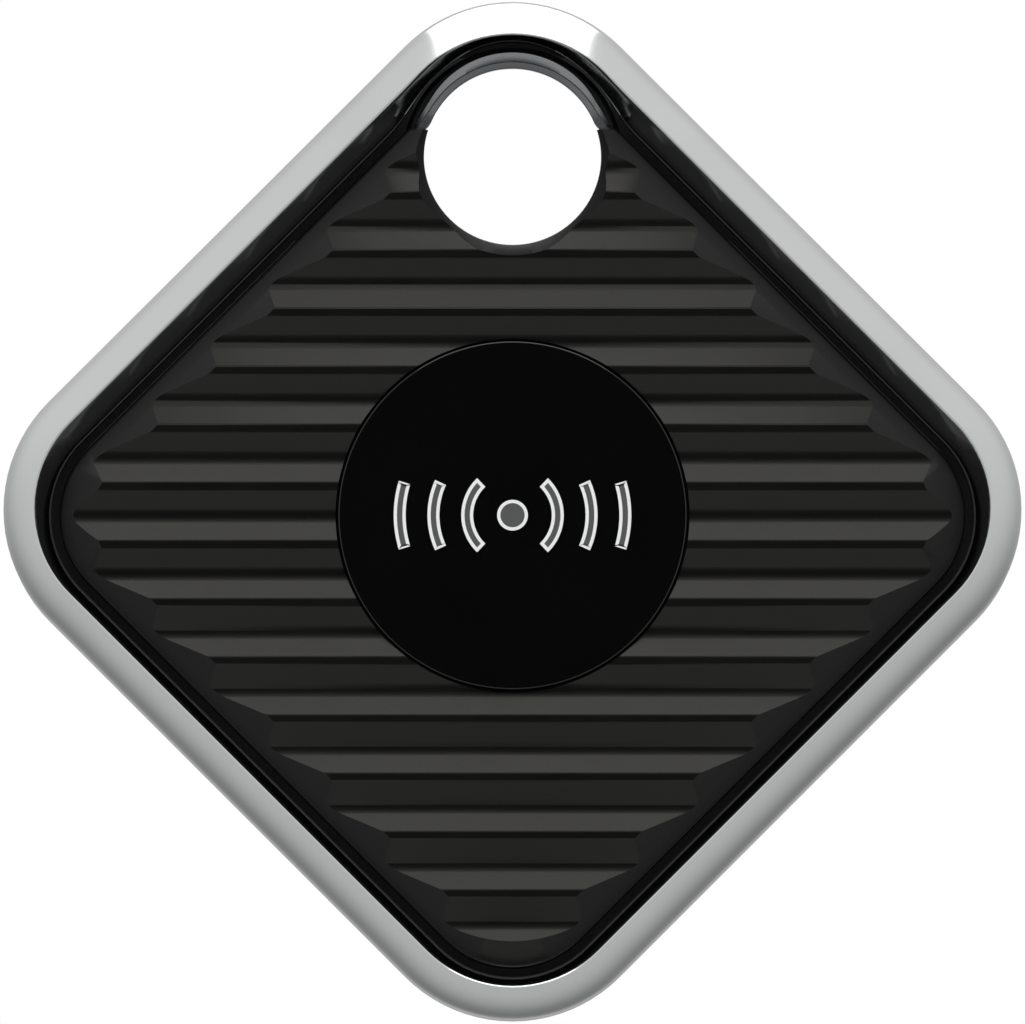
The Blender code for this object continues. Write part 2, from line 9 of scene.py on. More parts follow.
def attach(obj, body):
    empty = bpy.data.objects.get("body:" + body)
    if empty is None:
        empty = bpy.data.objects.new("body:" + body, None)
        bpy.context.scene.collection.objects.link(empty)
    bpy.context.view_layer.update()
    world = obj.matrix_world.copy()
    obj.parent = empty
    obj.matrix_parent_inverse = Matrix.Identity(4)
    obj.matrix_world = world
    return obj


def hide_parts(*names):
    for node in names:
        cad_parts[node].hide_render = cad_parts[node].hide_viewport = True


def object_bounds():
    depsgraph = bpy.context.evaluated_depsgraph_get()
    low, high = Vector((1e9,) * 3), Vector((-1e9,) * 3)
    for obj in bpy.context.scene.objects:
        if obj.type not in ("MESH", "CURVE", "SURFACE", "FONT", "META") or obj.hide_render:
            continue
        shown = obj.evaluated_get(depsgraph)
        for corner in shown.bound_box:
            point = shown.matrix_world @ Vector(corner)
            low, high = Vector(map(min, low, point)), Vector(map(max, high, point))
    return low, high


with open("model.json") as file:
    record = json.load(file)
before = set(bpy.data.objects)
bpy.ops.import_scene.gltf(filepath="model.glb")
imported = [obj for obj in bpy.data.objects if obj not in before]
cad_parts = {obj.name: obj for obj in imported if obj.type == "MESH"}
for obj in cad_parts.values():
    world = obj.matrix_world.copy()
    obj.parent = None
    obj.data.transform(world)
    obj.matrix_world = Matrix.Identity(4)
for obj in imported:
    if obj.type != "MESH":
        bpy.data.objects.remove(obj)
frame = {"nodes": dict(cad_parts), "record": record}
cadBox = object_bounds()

# Every piece is drawn lying on its back in millimetres: x to the right, y towards the key hole,
# z from the back face to the front. standUp then makes it metres and stands it face forwards.
mm = 0.001
lowCorner, highCorner = cadBox
tag = dict(
    width=(highCorner.x - lowCorner.x) / mm,
    thickness=(highCorner.y - lowCorner.y) / mm,
    eyeUp=-(lowCorner.z + highCorner.z) / 2 / mm,  # key hole centre above the middle of the tag
    eyeRadius=4.6,
    cornerRadius=7.9,
    cornerSegments=20,
    longSide=5,  # a longer edge is a straight side, a shorter one part of a corner
    frontDrop=0.35,  # the whole front sits this much towards the bottom corner
)
tag["acrossFlats"] = (tag["width"] - 2 * tag["cornerRadius"]) / math.sqrt(2) + 2 * tag["cornerRadius"]
standUp = (
    Matrix.Translation((0, tag["thickness"] / 2 * mm, -tag["eyeUp"] * mm))
    @ Matrix.Rotation(math.radians(90), 4, "X")
    @ Matrix.Scale(mm, 4)
)
eyeAt = (0, tag["eyeUp"])
slotOf = {row["node"]: row["material_slot"] for row in frame["record"]["subparts"]}


# shader helpers
class Wire:
    # one output of a shader node; sums, differences and products become Math nodes
    def __init__(self, bench, socket):
        self.bench = bench
        self.socket = socket

    def joined(self, operation, first, second):
        return self.bench.add("ShaderNodeMath", {"operation": operation}, {0: first, 1: second})

    def __add__(self, other):
        return self.joined("ADD", self, other)

    def __sub__(self, other):
        return self.joined("SUBTRACT", self, other)

    def __rsub__(self, other):
        return self.joined("SUBTRACT", other, self)

    def __mul__(self, other):
        return self.joined("MULTIPLY", self, other)

    __radd__ = __add__
    __rmul__ = __mul__


class Bench:
    # a node tree with one way to add any node
    def __init__(self, tree):
        self.tree = tree

    def add(self, kind, settings=None, values=None, output=0):
        node = self.tree.nodes.new(kind)
        for name, value in (settings or {}).items():
            setattr(node, name, value)
        for name, value in (values or {}).items():
            if isinstance(value, Wire):
                self.tree.links.new(value.socket, node.inputs[name])
            else:
                node.inputs[name].default_value = value
        return Wire(self, node.outputs[output]) if node.outputs else node

    def noise(self, place, size, detail=2.0, roughness=0.5):
        return self.add(
            "ShaderNodeTexNoise",
            {},
            {"Vector": place, "Scale": 1 / size, "Detail": detail, "Roughness": roughness},
        )

    def stretched(self, place, turn, along, across):
        # the same place, turned about the tag's face and drawn out, for scratches and brushing
        return self.add(
            "ShaderNodeMapping",
            {},
            {"Vector": place, "Rotation": (0, turn, 0), "Scale": (1 / along, 1 / across, 1 / across)},
        )

    def bump(self, height, depth):
        values = {"Height": height, "Distance": depth * mm, "Strength": 1.0}
        return self.add("ShaderNodeBump", {}, values)

    def blend(self, share, first, second):
        return self.add(
            "ShaderNodeMix", {"data_type": "RGBA"}, {0: share, 6: (*first, 1), 7: (*second, 1)}, 2
        )

    def smooth(self, value, start, end, atStart=0.0, atEnd=1.0):
        return self.add(
            "ShaderNodeMapRange",
            {"interpolation_type": "SMOOTHSTEP"},
            {0: value, 1: start, 2: end, 3: atStart, 4: atEnd},
        )


def newFinish(name):
    made = bpy.data.materials.new(name)
    made.use_nodes = True
    bench = Bench(made.node_tree)
    shader = made.node_tree.nodes["Principled BSDF"]
    place = bench.add("ShaderNodeTexCoord", output=3)
    return made, bench, shader, place


def feed(bench, shader, values):
    for name, value in values.items():
        if isinstance(value, Wire):
            bench.tree.links.new(value.socket, shader.inputs[name])
        else:
            shader.inputs[name].default_value = value


# finishes
metalLook = dict(
    light=(0.66, 0.68, 0.665),
    dark=(0.60, 0.62, 0.61),
    roughness=0.13,
    haze=0.05,
    scratch=0.05,
)


def polishedMetal(name="polishedFrame", look=metalLook):
    # bright metal with faint haze, a few thin scratches and a little orange peel
    made, bench, shader, place = newFinish(name)
    haze = bench.noise(place, 6 * mm, 3)
    scratches = bench.noise(bench.stretched(place, 0.9, 3 * mm, 0.05 * mm), 1, 1)
    peel = bench.noise(place, 0.5 * mm, 2)
    grit = bench.noise(place, 0.06 * mm, 2)
    feed(bench, shader, {
        "Metallic": 1.0,
        "Base Color": bench.blend(haze, look["dark"], look["light"]),
        "Roughness": look["roughness"] + (haze - 0.5) * look["haze"]
        + bench.smooth(scratches, 0.62, 0.75) * look["scratch"],
        "Normal": bench.bump(peel * 0.6 + grit * 0.4, 0.0012),
    })
    return made


archLook = dict(
    light=(0.36, 0.37, 0.38),
    dark=(0.29, 0.30, 0.31),
    roughness=0.26,
    haze=0.08,
    scratch=0.08,
)


def darkChrome():
    return polishedMetal("darkArch", archLook)


def mouldedPlastic(
    name, dark, light, roughness, spread, grain, depth, specular=0.5, fine=2, tint=(1, 1, 1)
):
    # fine moulded grain, with broad soft changes of colour and sheen from flow in the mould; grain
    # and depth are its size and height in millimetres, spread is how much the roughness wanders
    made, bench, shader, place = newFinish(name)
    pebbles = bench.noise(place, grain * mm, fine, 0.6)
    flow = bench.noise(place, 9 * mm, 3, 0.55)
    rubbed = bench.noise(place, 2.2 * mm, 4, 0.6)
    feed(bench, shader, {
        "Specular IOR Level": specular,
        "Specular Tint": (*tint, 1),
        "Base Color": bench.blend(flow * 0.6 + pebbles * 0.4, dark, light),
        "Roughness": roughness + (flow - 0.5) * spread + (rubbed - 0.5) * spread * 0.7,
        "Normal": bench.bump(pebbles, depth),
    })
    return made


def satinBlack():
    return mouldedPlastic(
        "satinBlack", dark=(0.0028, 0.0028, 0.0029), light=(0.0046, 0.0045, 0.0042),
        roughness=0.30, spread=0.10, grain=0.11, depth=0.004, specular=0.33, tint=(1.0, 0.985, 0.95),
    )


def satinRim():
    # the same plastic with a rougher, deeper grain, on the sloped rim
    return mouldedPlastic(
        "satinRim", dark=(0.0028, 0.0028, 0.0029), light=(0.0046, 0.0045, 0.0044),
        roughness=0.46, spread=0.08, grain=0.09, depth=0.006, specular=0.30,
    )


def shellBlack():
    return mouldedPlastic(
        "shellBlack", dark=(0.010, 0.010, 0.0105), light=(0.015, 0.015, 0.015),
        roughness=0.5, spread=0.10, grain=0.18, depth=0.016, fine=3,
    )


def pianoBlack():
    # polished black with faint wiping marks
    made, bench, shader, place = newFinish("pianoBlack")
    haze = bench.noise(place, 5 * mm, 3)
    wiping = bench.noise(bench.stretched(place, 0.35, 8 * mm, 0.09 * mm), 1, 2)
    feed(bench, shader, {
        "Base Color": bench.blend(haze, (0.0012, 0.0012, 0.0013), (0.0020, 0.0020, 0.0021)),
        "Roughness": 0.07 + (haze - 0.5) * 0.03 + bench.smooth(wiping, 0.6, 0.8) * 0.06,
        "Normal": bench.bump(haze, 0.002),
    })
    return made


def printedInk(name, dark, light):
    # flat ink with a fine speckle
    made, bench, shader, place = newFinish(name)
    speckle = bench.noise(place, 0.05 * mm, 2)
    feed(bench, shader, {
        "Base Color": bench.blend(speckle, dark, light),
        "Roughness": 0.42 + (speckle - 0.5) * 0.2,
        "Normal": bench.bump(speckle, 0.003),
    })
    return made


def rolledMetal(name, dark, light, roughness, turn=0.0):
    # sheet metal with rolling lines
    made, bench, shader, place = newFinish(name)
    lines = bench.noise(bench.stretched(place, turn, 2.5 * mm, 0.04 * mm), 1, 2)
    haze = bench.noise(place, 2 * mm, 3)
    feed(bench, shader, {
        "Metallic": 1.0,
        "Base Color": bench.blend(lines * 0.5 + haze * 0.5, dark, light),
        "Roughness": roughness + (lines - 0.5) * 0.16 + (haze - 0.5) * 0.08,
        "Normal": bench.bump(lines, 0.003),
    })
    return made


def steelSheet():
    return rolledMetal("steelSheet", dark=(0.46, 0.46, 0.47), light=(0.60, 0.60, 0.61), roughness=0.28)


def goldSpring():
    return rolledMetal(
        "goldSpring", dark=(0.66, 0.44, 0.17), light=(0.80, 0.60, 0.30), roughness=0.28, turn=0.8
    )


def enamelCopper():
    # fine enamelled wire, laid turn by turn
    made, bench, shader, place = newFinish("enamelCopper")
    turns = bench.add(
        "ShaderNodeTexWave",
        {"wave_type": "BANDS", "bands_direction": "Y"},
        {"Vector": place, "Scale": 3 / mm},
        output=1,
    )
    haze = bench.noise(place, 0.8 * mm, 2)
    feed(bench, shader, {
        "Metallic": 1.0,
        "Base Color": bench.blend(turns * 0.7 + haze * 0.3, (0.42, 0.15, 0.06), (0.78, 0.38, 0.20)),
        "Roughness": 0.3 + (haze - 0.5) * 0.1,
        "Normal": bench.bump(turns, 0.02),
    })
    return made


def blackRubber():
    return mouldedPlastic(
        "blackRubber", dark=(0.018, 0.018, 0.018), light=(0.035, 0.035, 0.034),
        roughness=0.72, spread=0.15, grain=0.1, depth=0.01, specular=0.3,
    )


def foamTape():
    return mouldedPlastic(
        "foamTape", dark=(0.06, 0.06, 0.06), light=(0.13, 0.13, 0.125),
        roughness=0.75, spread=0.1, grain=0.09, depth=0.03, specular=0.3,
    )


def whiteNylon():
    return mouldedPlastic(
        "whiteNylon", dark=(0.66, 0.65, 0.60), light=(0.78, 0.77, 0.73),
        roughness=0.48, spread=0.1, grain=0.12, depth=0.006,
    )


def chipResin():
    return mouldedPlastic(
        "chipResin", dark=(0.022, 0.022, 0.025), light=(0.045, 0.045, 0.048),
        roughness=0.5, spread=0.12, grain=0.04, depth=0.004,
    )


def firedCeramic():
    return mouldedPlastic(
        "firedCeramic", dark=(0.60, 0.52, 0.40), light=(0.76, 0.70, 0.58),
        roughness=0.5, spread=0.1, grain=0.05, depth=0.004,
    )


def porousMembrane():
    # stretched fibre web
    made, bench, shader, place = newFinish("porousMembrane")
    fibres = bench.noise(bench.stretched(place, 0.4, 0.4 * mm, 0.03 * mm), 1, 3)
    cross = bench.noise(bench.stretched(place, 1.9, 0.4 * mm, 0.03 * mm), 1, 3)
    web = fibres * 0.5 + cross * 0.5
    feed(bench, shader, {
        "Base Color": bench.blend(web, (0.55, 0.55, 0.55), (0.88, 0.88, 0.87)),
        "Roughness": 0.85 - web * 0.1,
        "Normal": bench.bump(web, 0.01),
    })
    return made


def greenBoard():
    # solder mask over copper: tracks at right angles show as lighter lines, with pads where they cross
    made, bench, shader, place = newFinish("greenBoard")
    turned = bench.add("ShaderNodeMapping", {}, {"Vector": place, "Rotation": (0, math.pi / 4, 0)})
    cells = bench.add(
        "ShaderNodeTexVoronoi",
        {"distance": "CHEBYCHEV", "feature": "F1"},
        {"Vector": turned, "Scale": 1 / (1.9 * mm), "Randomness": 0.55},
    )
    tracks = bench.smooth(cells, 0.34, 0.36) * bench.smooth(cells, 0.44, 0.42)
    pads = bench.smooth(cells, 0.10, 0.09)
    weave = bench.noise(place, 0.3 * mm, 2)
    copper = tracks * 0.75 + weave * 0.2
    mask = bench.blend(copper, (0.012, 0.10, 0.045), (0.03, 0.20, 0.09))
    gold = bench.add(
        "ShaderNodeMix", {"data_type": "RGBA"}, {0: pads, 6: mask, 7: (0.70, 0.52, 0.24, 1)}, 2
    )
    feed(bench, shader, {
        "Base Color": gold,
        "Metallic": pads * 0.9,
        "Roughness": 0.38 - pads * 0.1 + (weave - 0.5) * 0.1,
        "Normal": bench.bump(tracks + pads + weave * 0.15, 0.02),
    })
    return made


finishForSlot = dict(
    polished_metal=polishedMetal,
    eye_metal=darkChrome,
    satin_black=satinBlack,
    gloss_black=pianoBlack,
    steel=steelSheet,
    gold_plate=goldSpring,
    rubber_black=blackRubber,
    adhesive=foamTape,
    board_green=greenBoard,
    nylon_white=whiteNylon,
    chip_black=chipResin,
    ceramic=firedCeramic,
    copper=enamelCopper,
    membrane=porousMembrane,
)
finishes = {name: make() for name, make in finishForSlot.items()}
finishes["shell_black"] = shellBlack()
finishes["satin_rim"] = satinRim()
finishes["ink_white"] = printedInk("inkWhite", (0.78, 0.79, 0.79), (0.90, 0.90, 0.90))
finishes["ink_grey"] = printedInk("inkGrey", (0.075, 0.077, 0.078), (0.098, 0.10, 0.10))
print("finishes mixed:", len(finishes))


# shape helpers
def softened(corners, closed=False, steps=4):
    # corners are (numbers, reach); a corner with a reach is rounded by a short curve
    made = []
    count = len(corners)
    for i, (spot, reach) in enumerate(corners):
        spot = Vector(spot)
        atEnd = not closed and i in (0, count - 1)
        if reach == 0 or atEnd:
            made.append(spot)
            continue
        before = Vector(corners[i - 1][0])
        after = Vector(corners[(i + 1) % count][0])
        start = spot.lerp(before, min(0.5, reach / (before - spot).to_2d().length))
        end = spot.lerp(after, min(0.5, reach / (after - spot).to_2d().length))
        for step in range(steps + 1):
            t = step / steps
            made.append(start * (1 - t) ** 2 + spot * 2 * t * (1 - t) + end * t ** 2)
    return made


def outlineLoop(bm, inset, height, topRadius=None, drop=0.0, splits=0):
    # the tag's rounded outline, moved in by inset; topRadius is the corner round the key hole, drop
    # moves it towards the bottom corner, and splits cuts up the two upper sides
    known = set(bm.edges)
    reach = (tag["acrossFlats"] / 2 - inset) * math.sqrt(2)
    square = bmesh.ops.create_circle(bm, segments=4, radius=reach)["verts"]
    bmesh.ops.translate(bm, verts=square, vec=(0, -drop, height))
    top = max(square, key=lambda v: v.co.y)
    radius = tag["cornerRadius"] - inset
    others = [v for v in square if v is not top]
    for verts, size in ((others, radius), ([top], topRadius or radius)):
        bmesh.ops.bevel(
            bm, geom=verts, offset=size, offset_type="OFFSET", affect="VERTICES",
            segments=tag["cornerSegments"], profile=0.5, material=-1,
        )
    if splits:
        upper = [
            e for e in bm.edges
            if e not in known and e.calc_length() > tag["longSide"] and min(v.co.y for v in e.verts) > 0
        ]
        bmesh.ops.subdivide_edges(bm, edges=upper, cuts=splits)
    return [e for e in bm.edges if e not in known]


def roundLoop(bm, radius, height, centre=(0, 0), segments=96):
    known = set(bm.edges)
    verts = bmesh.ops.create_circle(bm, segments=segments, radius=radius)["verts"]
    bmesh.ops.translate(bm, verts=verts, vec=(*centre, height))
    return [e for e in bm.edges if e not in known]


def skinned(bm, loops, ring=False):
    # joins level loops of edges into a skin, then closes its ends, or joins the last to the first;
    # the loops are spread out in height while they are joined, so that a flat step can't twist
    spacing = 3.0
    rings = [{v for e in loop for v in e.verts} for loop in loops]
    heights = [max(v.co.z for v in ringVerts) for ringVerts in rings]
    for level, ringVerts in enumerate(rings):
        for vert in ringVerts:
            vert.co.z = level * spacing
    for lower, upper in zip(loops, loops[1:] + loops[:1] if ring else loops[1:]):
        bmesh.ops.bridge_loops(bm, edges=lower + upper)
    if not ring:
        for end in (loops[0], loops[-1]):
            bmesh.ops.edgeloop_fill(bm, edges=end)
    for height, ringVerts in zip(heights, rings):
        for vert in ringVerts:
            vert.co.z = height
    return bm


def stacked(bm, steps, centre=(0, 0), segments=96):
    # a round solid from (radius, height) steps
    return skinned(bm, [roundLoop(bm, radius, height, centre, segments) for radius, height in steps])


def spun(bm, profile, centre=(0, 0), segments=96, ring=False):
    # turns a (radius, height) profile about the upright line through centre
    verts = [bm.verts.new((centre[0] + p[0], centre[1], p[1])) for p in profile]
    pairs = list(zip(verts, verts[1:])) + ([(verts[-1], verts[0])] if ring else [])
    edges = [bm.edges.new(pair) for pair in pairs]
    bmesh.ops.spin(
        bm, geom=verts + edges, cent=(*centre, 0), axis=(0, 0, 1), angle=math.tau,
        steps=segments, use_merge=True,
    )
    bmesh.ops.remove_doubles(bm, verts=bm.verts, dist=0.0005)
    return bm


def boxed(bm, low, high):
    known = set(bm.verts)
    bmesh.ops.create_cube(bm, size=1)
    fresh = [v for v in bm.verts if v not in known]
    bmesh.ops.scale(bm, verts=fresh, vec=[b - a for a, b in zip(low, high)])
    bmesh.ops.translate(bm, verts=fresh, vec=[(a + b) / 2 for a, b in zip(low, high)])
    return bm


def pulledOut(bm, faces, vec):
    # gives faces thickness along vec
    fresh = bmesh.ops.extrude_face_region(bm, geom=list(faces))["geom"]
    verts = [g for g in fresh if isinstance(g, bmesh.types.BMVert)]
    bmesh.ops.translate(bm, verts=verts, vec=vec)


def roughOut(name, bm):
    # a solid still lying down in millimetres
    bmesh.ops.recalc_face_normals(bm, faces=bm.faces)
    mesh = bpy.data.meshes.new(name)
    bm.to_mesh(mesh)
    bm.free()
    made = bpy.data.objects.new(name, mesh)
    bpy.context.scene.collection.objects.link(made)
    return made


def carved(target, tool, operation="DIFFERENCE"):
    # tool is a bmesh; it is used up
    cutter = roughOut("tool", tool)
    step = target.modifiers.new("carve", "BOOLEAN")
    step.operation = operation
    step.solver = "EXACT"
    step.object = cutter
    bpy.context.view_layer.update()
    graph = bpy.context.evaluated_depsgraph_get()
    shaped = bpy.data.meshes.new_from_object(target.evaluated_get(graph))
    target.modifiers.clear()
    target.data = shaped
    shaped.name = target.name
    bpy.data.objects.remove(cutter)
    return target


def finished(piece, finish, body, nodes=(), sharpAngle=28):
    # stands the piece up, shades and paints it, and rides it on its body
    mesh = piece.data
    mesh.transform(standUp)
    for name in [finish] if isinstance(finish, str) else finish:
        mesh.materials.append(finishes[name])
    mesh.shade_smooth()
    mesh.set_sharp_from_angle(angle=math.radians(sharpAngle))
    even = piece.modifiers.new("evenShading", "WEIGHTED_NORMAL")
    even.keep_sharp = True
    even.weight = 80
    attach(piece, body)
    if nodes:
        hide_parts(*nodes)
    print("made", piece.name, len(mesh.polygons), "faces")
    return piece


# polished frame
bezel = dict(
    foot=1.5,
    footSoftness=0.14,
    shoulder=6.3,
    crownInset=1.57,
    crownEnd=70,  # degrees of the crown's curve; less leaves a steeper lip
    crownSteps=14,
    lipInset=1.67,
    lipHeight=8.34,
    lipSoftness=0.24,
    wellInset=2.5,
    wellHeight=6.95,
    wellTopRadius=4.0,
    shelfInset=3.75,
    shelfLow=5.35,
    shelfTop=5.85,
    boreInset=2.3,
    boreSoftness=0.08,
    topCurve=0.7,  # how fast the crown's corner above the key hole tightens inwards
    eyeWell=5.75,  # the well widens to a circle round the key hole
    eyeBlend=0.8,  # and runs out of it this softly
    sideSplits=60,
)


def bezelFrame():
    crown = []
    rise = tag["thickness"] - bezel["shoulder"]
    end = math.radians(bezel["crownEnd"])
    for step in range(bezel["crownSteps"] + 1):
        turn = end * step / bezel["crownSteps"]
        inset = bezel["crownInset"] * (1 - math.cos(turn)) / (1 - math.cos(end))
        crown.append((inset, bezel["shoulder"] + rise * math.sin(turn) / math.sin(end)))
    full = tag["cornerRadius"]
    well, wellTop = bezel["wellInset"], bezel["wellTopRadius"]
    shelfRadius = wellTop - (bezel["shelfInset"] - well)
    corners = [((0.0, bezel["foot"], full, 0.0), bezel["footSoftness"])]
    corners += [((inset, height, full - bezel["topCurve"] * inset, 0.0), 0) for inset, height in crown]
    lip = bezel["lipInset"]
    corners += [
        ((lip, bezel["lipHeight"], full - bezel["topCurve"] * lip, 0.0), bezel["lipSoftness"]),
        ((well - 0.08, bezel["wellHeight"], wellTop + 0.08, tag["frontDrop"]), 0.03),
        ((well - 0.02, bezel["wellHeight"] + 0.01, wellTop + 0.02, tag["frontDrop"]), 0.015),
        ((well, bezel["wellHeight"] - 0.1, wellTop, tag["frontDrop"]), 0),
        ((well, bezel["shelfTop"], wellTop, tag["frontDrop"]), 0),
        ((bezel["shelfInset"], bezel["shelfTop"], shelfRadius, tag["frontDrop"]), 0),
        ((bezel["shelfInset"], bezel["shelfLow"], shelfRadius, 0.0), 0),
        ((bezel["boreInset"], bezel["shelfLow"], wellTop + well - bezel["boreInset"], 0.0), 0),
        ((bezel["boreInset"], bezel["foot"], full - bezel["boreInset"], 0.0), bezel["boreSoftness"]),
    ]
    bm = bmesh.new()
    loops = []
    for inset, height, radius, drop in softened(corners, closed=True):
        loop = outlineLoop(bm, inset, height, radius, drop, bezel["sideSplits"])
        loops.append(loop)
        # only the loops of the well and the shelf widen round the key hole
        if drop == 0 and inset < bezel["shelfInset"] - 0.1:
            continue
        reach = bezel["eyeWell"] - (0.03 if inset > well + 0.1 else 0)
        for vert in {v for e in loop for v in e.verts}:
            aside = Vector((vert.co.x, vert.co.y)) - Vector(eyeAt)
            near = max(0.0, 1 - abs(aside.length - reach) / bezel["eyeBlend"])
            far = max(aside.length, reach) + near ** 2 * bezel["eyeBlend"] / 4
            vert.co.xy = Vector(eyeAt) + aside.normalized() * far
    piece = roughOut("bezelFrame", skinned(bm, loops, ring=True))
    # painted shade in the groove between the frame and the cover: the frame's faces deep in the groove
    # take the black shell finish instead of metal, so the groove shows dark as shade
    for face in piece.data.polygons:
        x, y, z = face.center
        y += tag["frontDrop"]
        deep = tag["acrossFlats"] / 2 - (abs(x) + abs(y)) / math.sqrt(2) > well - 0.2
        outward = (face.normal.x * x + face.normal.y * y) / math.hypot(x, y) > 0.5
        low = bezel["shelfLow"] - 0.05 < z < bezel["wellHeight"] + 0.03
        face.material_index = 1 if deep and low and not outward else 0
    return finished(piece, ["polished_metal", "shell_black"], "housing", ["bezel_frame"])


bezelFrame()

# ridged cover
cover = dict(
    inset=2.94,
    topRadius=3.4,
    foot=6.1,
    under=6.6,
    valley=7.3,
    ridgeHeight=0.45,
    ridgePitch=3.02,
    valleyFlat=0.44,
    crestFlat=0.40,
    valleySoftness=0.2,
    crestSoftness=0.07,
    rimSlope=0.437,
    rimReach=0.7,  # the rim's slope meets the valleys this far in
    rimSoftness=0.2,
    hornAbove=1.38,  # the horns' tips above the key hole's centre
    pocketIn=0.85,  # wall round the pocket on the underside
    pocketRadius=2.6,
    eyeLand=0.9,  # solid round the key hole
    bossRadius=1.5,
    bossFoot=5.85,
    pilotRadius=0.66,
    screwAt=10.8,
)
cover["rimTop"] = cover["valley"] - cover["rimReach"] * cover["rimSlope"]
button = dict(
    radius=9.05,
    gap=0.13,
    top=7.7,
    skin=0.8,
    wall=0.9,
    flange=0.75,
    flangeThickness=0.28,
    centre=(0, -tag["frontDrop"]),
)


def cornersOfScrews():
    reach = cover["screwAt"]
    return [(reach, reach), (-reach, reach), (-reach, -reach), (reach, -reach)]


def ridgedSlab():
    # a bar with a ridged top, drawn from one side and pulled across; its long edges are softened
    reach = 8
    pitch = cover["ridgePitch"]
    low = 5.0  # the bar's underside
    crestTop = cover["valley"] + cover["ridgeHeight"]
    bm = bmesh.new()
    spots = [(-reach * pitch, low, "")]
    for k in range(-reach, reach):
        for side in (-1, 1):
            spots.append((k * pitch + side * cover["valleyFlat"] / 2, cover["valley"], "valley"))
        for side in (-1, 1):
            spots.append(((k + 0.5) * pitch + side * cover["crestFlat"] / 2, crestTop, "crest"))
    spots.append((reach * pitch, low, ""))
    half = tag["acrossFlats"] * 0.7
    verts = [bm.verts.new((-half, y - tag["frontDrop"], z)) for y, z, _ in spots]
    kinds = {round(y - tag["frontDrop"], 4): kind for y, _, kind in spots}
    pulledOut(bm, [bm.faces.new(verts)], (2 * half, 0, 0))
    for kind, size in (("valley", cover["valleySoftness"]), ("crest", cover["crestSoftness"])):
        long = [
            e for e in bm.edges
            if e.calc_length() > half and kinds.get(round(e.verts[0].co.y, 4)) == kind
        ]
        bmesh.ops.bevel(
            bm, geom=long, offset=size, offset_type="OFFSET", affect="EDGES",
            segments=4, profile=0.5, material=-1,
        )
    return bm


def frontCover():
    slopeEnd = 8.2
    slopeInset = cover["inset"] + (slopeEnd - cover["rimTop"]) / cover["rimSlope"]
    drop = tag["frontDrop"]
    corners = [
        ((cover["inset"], cover["foot"], cover["topRadius"], drop), 0),
        ((cover["inset"], cover["rimTop"], cover["topRadius"], drop), cover["rimSoftness"]),
        ((slopeInset, slopeEnd, 0.8, drop), 0),
    ]
    bm = bmesh.new()
    skinned(bm, [outlineLoop(bm, *spot) for spot in softened(corners)])
    piece = roughOut("frontCover", bm)
    carved(piece, ridgedSlab(), "INTERSECT")

    # hollow under the plate, but solid round the key hole
    tool = bmesh.new()
    heights = (cover["foot"] - 0.5, cover["under"])
    pocketInset = cover["inset"] + cover["pocketIn"]
    skinned(tool, [outlineLoop(tool, pocketInset, z, cover["pocketRadius"], drop) for z in heights])
    pocket = roughOut("pocket", tool)
    eye = tag["eyeRadius"]
    land = eye + cover["eyeLand"]
    carved(pocket, stacked(bmesh.new(), [(land, 5.0), (land, 7.2)], eyeAt))
    hollow = bmesh.new()
    hollow.from_mesh(pocket.data)
    bpy.data.objects.remove(pocket)
    carved(piece, hollow)

    posts = bmesh.new()
    boss = cover["bossRadius"]
    for spot in cornersOfScrews():
        stacked(posts, [(boss, cover["bossFoot"]), (boss, cover["under"] + 0.2)], spot, 32)
    carved(piece, posts, "UNION")

    holes = bmesh.new()
    pilot = cover["pilotRadius"]
    for spot in cornersOfScrews():
        stacked(holes, [(pilot, 5.2), (pilot, cover["under"] + 0.35)], spot, 20)
    opening = button["radius"] + button["gap"]
    stacked(holes, [(opening, 4.0), (opening, 9.0)], button["centre"], 128)
    flare = cover["rimTop"] - 0.05
    eyeSteps = [(eye, 4.0), (eye, flare - 0.08), (eye + 0.05, flare + 0.02), (eye + 0.95, flare + 1.3)]
    stacked(holes, eyeSteps, eyeAt)
    carved(piece, holes)

    # cut off above the horns' tips, then the rougher finish on the sloped rim
    hornTip = tag["eyeUp"] + cover["hornAbove"]
    carved(piece, boxed(bmesh.new(), (-9, hornTip, 4), (9, 28, 9)))
    for face in piece.data.polygons:
        face.material_index = 1 if abs(face.normal.x) > 0.15 and face.normal.z > 0.5 else 0
    return finished(piece, ["satin_black", "satin_rim"], "housing", ["front_cover"], sharpAngle=20)


frontCover()

# arch over the key hole: each of its rings is a circle raised above the key hole's centre, whose
# sides leave it below the bend and lean outwards
arch = dict(
    outer=dict(raised=0.47, radius=4.95, bend=3.0, lean=0.62),
    step=dict(raised=0.0, radius=4.9, bend=2.4, lean=0.72),
    edge=dict(raised=0.0, radius=4.6, bend=1.66, lean=1.0),
    foot=6.1,
    crest=7.06,
    crestFoot=6.86,
    ledge=6.79,
    edgeTop=6.72,
    notch=1.4,  # its ends, above the key hole's centre
)


def splayedLoop(bm, ring, height, grow=0.0):
    radius = ring["radius"] + grow
    loop = roundLoop(bm, radius, height, (eyeAt[0], eyeAt[1] + ring["raised"]), 160)
    start = math.sqrt(radius ** 2 - (ring["bend"] - ring["raised"]) ** 2)
    for vert in {v for e in loop for v in e.verts}:
        up = vert.co.y - eyeAt[1]
        if ring["raised"] < up < ring["bend"]:
            vert.co.x = math.copysign(start + (ring["bend"] - up) * ring["lean"], vert.co.x)
    return loop


